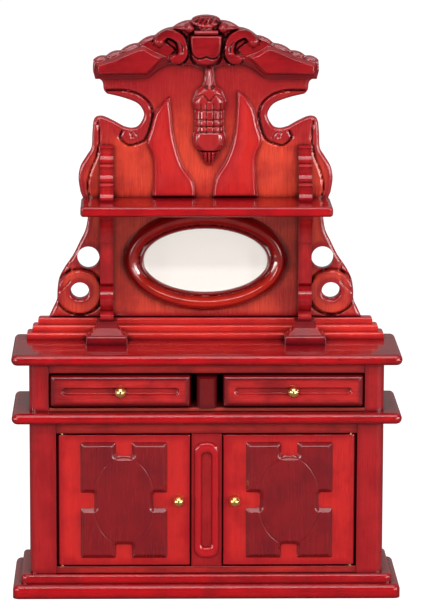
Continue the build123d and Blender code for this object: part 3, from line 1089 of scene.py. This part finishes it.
def arched(points: Points, lift: float, steps: int = 7) -> Points:
    """Shallow arcs from one point to the next, bulging upwards by the lift.

    Args:
        points: x and z of each, in millimetres.
        lift: height of each arc.
        steps: pieces in each arc.

    Returns:
        The arcs' points, without the last end.
    """
    run: Points = []
    for (ax, az), (bx, bz) in zip(points, points[1:]):
        for step in range(steps):
            t = step / steps
            out = 4 * lift * t * (1 - t)
            length = math.hypot(bx - ax, bz - az)
            run.append((ax + (bx - ax) * t + out * (bz - az) / length,
                        az + (bz - az) * t - out * (bx - ax) / length))
    return run


def crown() -> Points:
    """The scalloped top from the right tip to the left one.

    Returns:
        Its points, in order.
    """
    middle = [(4.4 * math.cos(a), 91.3 + 1.6 * math.sin(a)) for a in np.linspace(0, math.pi, 14)]
    right = arched(LOBES, 0.55)
    return right + middle + mirrored(right)


class BackBoard(Relief):
    """The fretted board of the hutch, with a rolled band round its upper scrolls."""

    def height(self, x: np.ndarray, z: np.ndarray) -> np.ndarray:
        """Grooves beside the scrolls, rings round the wing holes and a rounded rim.

        Args:
            x: places across, in millimetres.
            z: heights of the same places.

        Returns:
            The heights, in millimetres.
        """
        side = np.abs(x)
        edge = depth_within(x, z, self.outline)
        shape = -0.55 * (1 - rise(edge, 0, 0.8)) ** 2
        scroll = spline([(30.2, 70.1), (24.9, 70.1), (20.5, 68.9), (17.2, 66.2), (16.1, 62.8),
                         (16.7, 59.0), (18.3, 55.1), (21.1, 53.7), (23.9, 53.4), (26.1, 55.6),
                         (25.5, 57.5)])
        shape -= 1.0 * groove(side, z, scroll, 1.1)
        ear = spline([(33.0, 61.2), (32.4, 57.8), (32.4, 54.5), (33.2, 50.0), (35.2, 45.0),
                      (36.0, 40.6), (35.3, 37.0)])
        shape -= 0.7 * groove(side, z, ear, 0.9)
        for notch in ([(22.9, 57.4), (22.2, 55.2)], [(21.6, 57.4), (20.4, 55.6)]):
            shape -= 0.5 * groove(side, z, np.array(notch), 0.6)
        ring = np.hypot((side - 38.6) / 1.04, z - 7.9)
        shape += 0.9 * np.clip(1.7 * np.sqrt(np.clip(1 - ((ring - 4.6) / 2.1) ** 2, 0, 1)), 0, 1)
        shape -= 0.8 * np.clip(1 - np.abs(ring - 7.1) / 0.5, 0, 1)
        leaf = spline([(41.4, 16.9), (41.6, 14.8), (43.2, 12.9), (45.4, 11.2)])
        shape -= 0.6 * groove(side, z, leaf, 0.8)
        return shape - 0.4 * groove(side, z, leaf + (0, -3.4), 0.6)

    def stain(self, x: np.ndarray, z: np.ndarray) -> np.ndarray:
        """Deep on the edges, the scrolls, the ears and under the crest; lighter below the shelf
        as painted light.

        Args:
            x: places across, in millimetres.
            z: heights of the same places.

        Returns:
            0 to 1 for each place.
        """
        side = np.abs(x)
        deep = 1 - rise(self.edge(x, z), 0.4, 3.2)
        under = rise(z, 50, 74) * 0.85
        ear = rise(side, 24, 30) * rise(z, 46, 58) * 0.8
        wing = rise(side, 31, 36) * (1 - rise(z, 22, 32)) * 0.45
        scroll = (1 - rise(np.hypot(side - 22.5, z - 61.5), 6.5, 9.0)) * 0.9
        # Painted light: below the shelf's underside (z under about 34) the stain gets a slight
        # even floor and is then halved away from the edges, lifting the board where the shelf
        # shades it.
        shade = (1 - rise(z, 32, 36)) * 0.12
        whole = np.max([deep, under, ear, wing, scroll, shade], axis=0)
        return whole * (1 - 0.5 * rise(34 - z, 0, 2) * (1 - deep))


class Crest(Relief):
    """The scalloped crest: arms, C-scrolls, bosses, a shell and a shield."""

    def height(self, x: np.ndarray, z: np.ndarray) -> np.ndarray:
        """The carving, from the rim's pillows up to the scrolls.

        Args:
            x: places across, in millimetres.
            z: heights of the same places.

        Returns:
            The heights, in millimetres.
        """
        side = np.abs(x)
        edge = depth_within(x, z, self.outline)
        shape = 1.4 + 0.5 * rise(edge, 0, 1.1)
        for (ax, az), (bx, bz) in zip(LOBES, LOBES[1:]):
            cut = np.array([(bx, bz), (bx - 1.2, bz - 3.2)])
            shape -= 0.9 * groove(side, z, cut, 1.0)
        arm = np.array([(34.2, 75.6), (34.2, 78.9), (27.4, 81.2), (25.8, 82.0), (21.0, 84.0),
                        (18.6, 84.4), (15.4, 82.4), (11.0, 80.8), (14.0, 78.0), (17.6, 74.4),
                        (33.0, 74.2)])
        shape = np.maximum(shape, 0.4 + 3.5 * np.clip(depth_within(side, z, arm) / 1.5, -1, 1))
        scroll = spline([(14.3, 85.3), (13.0, 87.2), (11.6, 87.7), (9.9, 87.3), (7.9, 85.9),
                         (7.1, 84.0), (7.0, 81.6), (8.0, 80.0), (9.4, 79.8)])
        shape = np.where(nearest(side, z, scroll)[0] < 2.0, np.minimum(shape, 1.0), shape)
        roll = np.clip(1.5 * band(side, z, scroll, 3.2), 0, 1)
        shape = np.maximum(shape, 0.6 + 3.0 * roll)
        shape = np.maximum(shape, 0.8 + 3.0 * dome(side, z, (14.2, 85.2), (2.1, 2.0)))
        shape = np.maximum(shape, 0.6 + 3.0 * dome(side, z, (8.9, 79.9), (2.7, 1.8)))
        slit = spline([(12.6, 85.4), (10.8, 84.0), (9.2, 82.6), (10.2, 81.6)])
        shape -= 1.0 * groove(side, z, slit, 0.7)
        line = spline([(8.3, 85.2), (7.2, 83.6), (7.4, 81.6)])
        shape -= 0.5 * groove(side, z, line, 0.5)
        petal = np.array([(5.2, 90.4), (10.4, 89.7), (10.2, 88.6), (5.4, 87.7)])
        shape = np.maximum(shape, 1.2 + 1.6 * rise(depth_within(side, z, petal), -0.2, 0.9))
        shape = np.maximum(shape, 1.2 + 2.6 * dome(side, z, (5.1, 89.2), (1.7, 1.6)))
        shield = spline([(0, 77.6), (2.6, 78.2), (4.3, 80.0), (4.9, 83.0), (5.1, 85.4),
                         (4.6, 87.3), (0, 87.5)], steps=8)
        shield = np.vstack([shield, shield[::-1] * (-1, 1)])
        within = depth_within(x, z, shield)
        shape = np.where(within > -0.5, 1.0 + 2.4 * rise(within, -0.4, 0.9), shape)
        shape -= 0.8 * groove(side, z, spline([(0, 80.6), (1.6, 80.0), (3.2, 80.4), (4.4, 81.8)]),
                              0.7)
        strap = (side < 3.6) & (z > 87.0) & (z < 88.8)
        shape = np.where(strap, 1.6 + 1.8 * np.sqrt(np.clip(1 - ((z - 87.9) / 0.9) ** 2, 0, 1)),
                         shape)
        fan = (z > 88.7) & (side < 1.8 + (z - 88.7) * 0.75) & (edge > 0.35)
        slant = np.where(x < 0.4, x - (z - 90) * 0.75, x - (z - 90) * 0.55)
        ribs = np.abs(np.cos(slant * 2.0))
        shape = np.where(fan, 2.4 + 0.7 * ribs, shape)
        lip = arched([(-4.2, 91.0), (4.2, 91.0)], 1.3)
        return np.maximum(shape, 1.2 + 2.0 * band(x, z, np.array(lip), 1.3))


class Horn(Relief):
    """One of the applied leaves that curve up beside the drop."""

    def height(self, x: np.ndarray, z: np.ndarray) -> np.ndarray:
        """A bevelled edge and a shallow hollow down the middle.

        Args:
            x: places across, in millimetres.
            z: heights of the same places.

        Returns:
            The heights, in millimetres.
        """
        edge = depth_within(x, z, self.outline)
        return 1.7 * quarter(edge, 1.0) - 0.15 * rise(edge, 1.2, 4.5)


class Drop(Relief):
    """The drop that hangs from the crest: stem, quilted cushion, band and flutes."""

    def height(self, x: np.ndarray, z: np.ndarray) -> np.ndarray:
        """The carving of the drop.

        Args:
            x: places across, in millimetres.
            z: heights of the same places.

        Returns:
            The heights, in millimetres.
        """
        edge = depth_within(x, z, self.outline)
        shape = 2.9 * np.sqrt(np.clip(1 - (1 - np.clip(edge / 2.6, 0, 1)) ** 2, 0, 1))
        for across in (-0.7, 0.7):
            shape -= 0.5 * groove(x, z, np.array([(across, 78.0), (across * 1.6, 72.6)]), 0.7)
        for left in (-1.9, -0.6, 0.6, 1.9):
            shape -= 0.6 * groove(x, z, np.array([(left, 51.2), (left * 0.7, 48.2)]), 0.7)
        for dimple in ((-0.9, 71.2), (0.9, 71.2)):
            shape -= 0.9 * dome(x, z, dimple, (0.6, 0.7))
        heart = spline([(-4.6, 67.3), (-2.0, 68.9), (0, 67.0), (2.0, 68.9), (4.6, 67.3)])
        shape -= 0.5 * groove(x, z, heart, 1.0)
        quilt = (z < 66.4) & (z > 57.2)
        for level in (64.2, 61.2, 59.3, 57.4):
            shape -= 0.45 * groove(x, z, np.array([(-5.4, level), (5.4, level)]), 0.9)
        for across in (-2.5, -0.9, 1.3, 3.4):
            line = groove(x, z, np.array([(across, 66.2), (across, 57.4)]), 0.7)
            shape -= np.where(quilt, 0.4 * line, 0)
        return shape - 1.0 * groove(x, z, np.array([(-5, 51.7), (5, 51.7)]), 0.8)


@dataclass
class Hutch:
    """The carved back board and everything carved on it."""

    thick: float = 3.0
    drop_shift: float = 1.0

    def build(self) -> None:
        """Carve the board, the crest, the leaves and the drop."""
        side = spline(WING).tolist() + spline(EAR).tolist() + spline(CUTOUT).tolist()[1:]
        side += spline(JAW).tolist()[1:-1]
        outline = side + crown() + mirrored(side)
        holes = [ellipse(way * x, z, wide, high) for way in (-1, 1)
                 for x, z, wide, high in ((35.9, 18.6, 3.4, 3.4), (38.5, 8.4, 2.8, 2.6))]
        board = BackBoard("carved_back_board", np.array(outline), BOARD_FACE,
                          BOARD_FACE + self.thick, 0.4, holes)
        dress(board.build(), BOARD, "mahogany_face", "back_board")

        under: Points = [(5.2, 78.0), (8.6, 77.8), (11.3, 78.3), (14.3, 77.0), (17.6, 74.4),
                         (18.5, 73.9), (33.6, 73.7), (34.3, 76.4)]
        foot: Points = [(-5.2, 78.0), (-3.0, 77.3), (0, 76.9), (3.0, 77.3)]
        crest = Crest("carved_crest", np.array(under + crown() + mirrored(under) + foot),
                      BOARD_FACE, BOARD_FACE, 0.25)
        dress(crest.build(), CROWN, "mahogany_dark", "crest")

        outers: list[Points] = [
            [(11.0, 68.4), (13.2, 66.2), (15.4, 63.3), (16.8, 58.4), (18.0, 54.1), (16.4, 50.3),
             (15.9, 45.0), (16.3, 37.3)],
            [(9.4, 70.2), (12.1, 68.4), (14.6, 64.4), (15.8, 59.5), (17.1, 54.6), (15.4, 49.7),
             (15.3, 44.0), (15.8, 37.3)]]
        inners: list[Points] = [
            [(3.2, 37.3), (3.6, 42.1), (7.2, 47.6), (9.6, 55.7), (10.4, 62.8), (11.0, 68.4)],
            [(2.1, 37.3), (2.9, 43.2), (6.1, 48.7), (8.3, 55.2), (9.2, 63.0), (9.4, 70.2)]]
        for side_name, outer, inner, way in zip(SIDES, outers, inners, (-1, 1)):
            shape = np.vstack([spline(outer), spline(inner)[:-1]])
            shape = shape[::way] * (way, 1)
            horn = Horn(f"carved_leaf_{side_name}", shape, BOARD_FACE, BOARD_FACE)
            dress(horn.build(), LEAF, "mahogany_face", f"horn_leaf_{side_name}")

        half: Points = [(0.6, 47.0), (1.8, 48.4), (2.6, 50.2), (3.4, 51.6), (4.8, 53.2),
                        (5.1, 55.8), (4.6, 58.2), (4.6, 61), (4.6, 64), (5.2, 66.5), (4.7, 68.3),
                        (3.8, 70.5), (1.8, 72.4), (1.4, 77.6)]
        shape = np.vstack([spline(half), spline(mirrored(half))])
        drop = Drop("carved_drop", shape, BOARD_FACE, BOARD_FACE, 0.2, middle=self.drop_shift)
        dress(drop.build(), CARVED, "mahogany_dark", "drop_ornament")


# ------------------------------------------------------------------ joinery
class CrossPanel(Relief):
    """The raised cross-shaped panel of a door, with an oval scored on it."""

    def height(self, x: np.ndarray, z: np.ndarray) -> np.ndarray:
        """Rounded edges and the scored oval.

        Args:
            x: places across, in millimetres.
            z: heights of the same places.

        Returns:
            The heights, in millimetres.
        """
        wide, tall = self.outline.max(0)
        oval = ellipse(0, 0, wide - 3.9, tall - 4.4, 90)
        oval = np.vstack([oval, oval[:1]])
        bevel = 1.2 * np.clip(self.edge(x, z) / 1.3, 0, 1)
        return bevel - 0.14 * groove(x, z, oval, 0.5)

    def stain(self, x: np.ndarray, z: np.ndarray) -> np.ndarray:
        """Deep all over, and a little lighter on the bevel.

        Args:
            x: places across, in millimetres.
            z: heights of the same places.

        Returns:
            0 to 1 for each place.
        """
        return 0.86 + 0.14 * rise(self.edge(x, z), 0.4, 1.0)


class DrawerFace(Relief):
    """A drawer's front: rounded edges and a long sunk slot."""

    def height(self, x: np.ndarray, z: np.ndarray) -> np.ndarray:
        """Rounded edges and the slot.

        Args:
            x: places across, in millimetres.
            z: heights of the same places.

        Returns:
            The heights, in millimetres.
        """
        reach = self.outline.max(0)[0] - 4.6
        slot, _ = nearest(x, z, np.array([(-reach, 0), (reach, 0)]))
        grit = 0.05 * np.sin(x * 7.1 + 3 * np.sin(x * 2.3)) * np.sin(z * 5.3 + x)
        sunk = (0.95 + grit) * (1 - rise(slot, 0.7, 1.2))
        return 1.6 * quarter(self.edge(x, z), 1.7) - sunk

    def stain(self, x: np.ndarray, z: np.ndarray) -> np.ndarray:
        """Deep round the edges.

        Args:
            x: places across, in millimetres.
            z: heights of the same places.

        Returns:
            0 to 1 for each place.
        """
        return 1 - rise(self.edge(x, z), 0.6, 2.6)


class StileRing(Relief):
    """The long ring moulding on the stile between the doors."""

    def height(self, x: np.ndarray, z: np.ndarray) -> np.ndarray:
        """A half-round section.

        Args:
            x: places across, in millimetres.
            z: heights of the same places.

        Returns:
            The heights, in millimetres.
        """
        return 1.0 * quarter(self.edge(x, z), 1.05)


class MirrorFrame(Relief):
    """The oval frame: a broad roll with a thin lip round the glass."""

    def height(self, x: np.ndarray, z: np.ndarray) -> np.ndarray:
        """The frame's section, from its outer edge to the glass.

        Args:
            x: places across, in millimetres.
            z: heights of the same places.

        Returns:
            The heights, in millimetres.
        """
        wide, tall = self.outline.max(0)
        reach = np.hypot(x / wide, z / tall)
        inner = np.hypot(x / self.holes[0].max(0)[0], z / self.holes[0].max(0)[1])
        out, within = np.maximum(1 - reach, 0), np.maximum(inner - 1, 0)
        across = out / np.maximum(out + within * 0.72, 1e-6)
        across_at = [0, 0.06, 0.16, 0.3, 0.48, 0.66, 0.72, 0.76, 0.82, 0.9, 0.96, 1.0]
        height_at = [0, 1.3, 2.5, 3.2, 3.0, 2.2, 1.9, 1.5, 1.9, 2.0, 1.6, 0.9]
        return np.interp(across, across_at, height_at)

    def stain(self, x: np.ndarray, z: np.ndarray) -> np.ndarray:
        """Deep at the outer edge; darker towards the frame's top and lighter towards its bottom.

        Args:
            x: places across, in millimetres.
            z: heights of the same places.

        Returns:
            0 to 1 for each place.
        """
        return 1 - rise(self.edge(x, z), 0.5, 3.0) * (0.4 + 0.6 * (1 - rise(z, -12, 4)))


def relief_on(kind: type[Relief], node: str, name: str, outline: np.ndarray, rise_mm: float,
              pitch: float, holes: list[np.ndarray] | None = None) -> bpy.types.Object:
    """Carve a piece in the place of a CAD node.

    Args:
        kind: the kind of carving.
        node: the CAD node, whose box places the piece.
        name: the new piece's name.
        outline: its outline from the middle of the box.
        rise_mm: how far its carving stands up to the box's front.
        pitch: size of its grid.
        holes: openings through it.

    Returns:
        The piece.
    """
    low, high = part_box(node)
    made = kind(name, outline, low.y / MM + rise_mm, high.y / MM, pitch, holes or [],
                foot=(low.z + high.z) / 2 / MM, middle=(low.x + high.x) / 2 / MM)
    return made.build()


@dataclass
class BaseCabinet:
    """The cupboard, its drawers and the boards between them."""

    notch: float = 4.7
    notch_deep: float = 4.2

    def cross(self, wide: float, tall: float) -> np.ndarray:
        """Outline of a door's panel: a rectangle notched in the middle of each side.

        Args:
            wide: the panel's width.
            tall: its height.

        Returns:
            The outline, with its corners eased.
        """
        x, z, half, deep = wide / 2, tall / 2, self.notch / 2, self.notch_deep
        corner = [(x, half), (x, z), (half, z), (half, z - deep)]
        points: Points = [(x - deep, half), *corner]
        points += [(-a, b) for a, b in reversed(points)]
        points += [(a, -b) for a, b in reversed(points)]
        return eased(points, 0.7)

    def build(self) -> None:
        """Finish the boards, the frame, the doors and the drawers."""
        refinish(CRIMSON, "countertop", "waist_board", "base_plinth", "base_step")
        refinish(RAIL, "rail_over_doors", "rail_under_doors", "rail_over_drawers",
                 *both("side_panel"), *both("upper_side"))
        refinish(POST, "centre_stile", *both("post_lower"), *both("post_upper"))
        refinish(BLOCK, "centre_block")
        refinish(FRAME, *both("door"))
        for side in SIDES:
            wide, _, tall = self.size(f"door_panel_{side}")
            panel = relief_on(CrossPanel, f"door_panel_{side}", f"carved_panel_{side}",
                              self.cross(wide, tall), 1.2, 0.2)
            dress(panel, PANEL, "mahogany_dark", f"door_panel_{side}", body=f"{side}_door")
            wide, _, tall = self.size(f"drawer_front_{side}")
            face = relief_on(DrawerFace, f"drawer_front_{side}", f"carved_drawer_{side}",
                             slab(wide, tall, 0.7), 1.6, 0.2)
            dress(face, DRAWER, "mahogany_face", f"drawer_front_{side}", body=f"{side}_drawer")
        wide, _, tall = self.size("stile_moulding")
        slot = slab(wide - 4.4, tall - 6.6, (wide - 4.4) * 0.45)
        ring = relief_on(StileRing, "stile_moulding", "carved_ring",
                         slab(wide, tall, wide * 0.4), 1.0, 0.15, [slot])
        dress(ring, RING, "mahogany_face", "stile_moulding")
        refinish(BRASS, *both("door_knob"), *both("drawer_knob"), *both("door_hinge_pins"))
        refinish(INNER, "back_panel", "upper_back", "drawer_divider", "drawer_floor",
                 *both("drawer_inner_side"), *both("drawer_outer_side"), *both("drawer_back"),
                 *both("drawer_bottom"))

    def size(self, node: str) -> tuple[float, float, float]:
        """A CAD node's size in millimetres.

        Args:
            node: the node's name.

        Returns:
            Its width, depth and height.
        """
        low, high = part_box(node)
        return tuple((high - low) / MM)


@dataclass
class HutchJoinery:
    """The hutch's foot, its shelf with brackets, and the mirror."""

    frame_wide: float = 6.2

    def build(self) -> None:
        """Finish these pieces."""
        refinish(CRIMSON, "shelf")
        refinish(FOOT, "hutch_base")
        refinish(STAND, *both("bracket_foot"))
        refinish(BRACKET, *both("bracket_lower"), *both("bracket_upper"))
        low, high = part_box("mirror_frame")
        wide, tall = (high.x - low.x) / 2 / MM, (high.z - low.z) / 2 / MM
        hole = ellipse(0, 0, wide - self.frame_wide, tall - self.frame_wide, 96)
        ring = relief_on(MirrorFrame, "mirror_frame", "moulded_mirror_frame",
                         ellipse(0, 0, wide, tall, 96), 3.2, 0.25, [hole])
        dress(ring, DARK, "mahogany_dark", "mirror_frame")
        refinish(MIRROR, "mirror_glass")


# ------------------------------------------------------------------ studio
@dataclass
class Studio:
    """A pale floor, soft lights and a white surround."""

    floor_colour: Colour = rgb(126, 124, 124)

    def build(self) -> None:
        """Make the floor, the lamps and the surround."""
        clear_choice()
        bpy.ops.mesh.primitive_plane_add(size=6, location=(0, 0, 0))
        floor = start("floor")
        graph = Graph.surface("pale_floor")
        cloud = graph.noise((3.0, 3.0, 3.0))
        seen = graph.node("ShaderNodeLightPath", output="Is Camera Ray")
        graph.set(Base_Color=graph.mix(cloud * 0.1, self.floor_colour, rgb(120, 118, 118)),
                  Roughness=0.9, Specular_IOR_Level=0.0, Emission_Strength=1.0,
                  Emission_Color=graph.mix(seen, (0, 0, 0, 1), (1, 1, 1, 1)))
        floor.data.materials.append(graph.owner)
        self.lamp("top", (0, -0.22, 0.75), (0, 0, 0.08), (0.7, 0.45), 2.4)
        self.lamp("left", (-0.62, -0.78, 0.26), (0, 0, 0.09), (0.40, 0.30), 3.1)
        self.lamp("right", (0.66, -0.76, 0.24), (0, 0, 0.09), (0.40, 0.30), 3.4)
        self.lamp("low", (0.42, -0.8, 0.09), (0.03, 0, 0.09), (0.35, 0.14), 0.7)
        self.lamp("strip", (0, -0.50, 0.62), (0, 0, 0.09), (0.9, 0.05), 2.0)
        self.lamp("left edge", (-0.8, -0.30, 0.18), (0, 0, 0.09), (0.05, 0.5), 2.0)
        self.lamp("right edge", (0.8, -0.34, 0.18), (0, 0, 0.09), (0.05, 0.5), 2.3)
        self.surround()

    def lamp(self, name: str, at: tuple[float, float, float], aim: tuple[float, float, float],
             size: tuple[float, float], power: float) -> None:
        """Add a soft rectangular lamp.

        Args:
            name: its name.
            at: where it hangs, in metres.
            aim: the place it faces.
            size: width and height.
            power: in watts.
        """
        bpy.ops.object.light_add(type="AREA", location=at)
        made = bpy.context.object
        made.name = name
        made.data.shape = "RECTANGLE"
        made.data.size, made.data.size_y = size
        made.data.energy = power
        made.rotation_euler = (Vector(aim) - Vector(at)).to_track_quat("-Z", "Y").to_euler()

    def surround(self) -> None:
        """White behind the piece; bright above and behind, dimmer in front."""
        world = bpy.data.worlds.new("surround")
        bpy.context.scene.world = world
        graph = Graph(world, "Background")
        _, deep, high = graph.split(graph.node("ShaderNodeTexCoord", output="Generated"))
        glow = 0.04 + deep.ramp(-0.2, 0.7) * 0.18 + high.ramp(0.2, 0.9) * 0.15
        seen = graph.node("ShaderNodeLightPath", output="Is Camera Ray")
        graph.set(Color=(1, 1, 1, 1), Strength=seen.most(glow))


@dataclass
class View:
    """The camera: its angle round the piece, its lens and what it looks at."""

    azimuth: float = -1.2
    elevation: float = 10.356
    roll: float = 0.15
    distance: float = 1.0888
    lens: float = 212.3
    aim: tuple[float, float, float] = (0.001463, 0.0, 0.087735)

    def build(self) -> None:
        """Place the camera and choose plain colour rendering."""
        a, e, r = (math.radians(v) for v in (self.azimuth, self.elevation, self.roll))
        away = Vector((math.sin(a) * math.cos(e), -math.cos(a) * math.cos(e), math.sin(e)))
        level = Vector((math.cos(a), math.sin(a), 0))
        upright = away.cross(level)
        across = level * math.cos(r) + upright * math.sin(r)
        up = upright * math.cos(r) - level * math.sin(r)
        clear_choice()
        bpy.ops.object.camera_add(location=Vector(self.aim) + away * self.distance)
        camera = bpy.context.object
        camera.name = "camera"
        camera.rotation_mode = "QUATERNION"
        turn = Matrix((across, up, away)).transposed()
        camera.rotation_quaternion = turn.to_quaternion()
        camera.data.lens = self.lens
        camera.data.sensor_width = 36
        camera.data.clip_start, camera.data.clip_end = 0.05, 20
        scene = bpy.context.scene
        scene.camera = camera
        scene.view_settings.view_transform = "Standard"
        scene.view_settings.look = "None"


def main() -> None:
    """Build the sideboard's looks and its studio."""
    logging.basicConfig(level=logging.INFO, format="%(name)s: %(message)s")
    for part in (BaseCabinet(), HutchJoinery(), Hutch(), Studio(), View()):
        part.build()
        LOG.info("built %s", type(part).__name__)


if __name__ == "__main__":
    main()
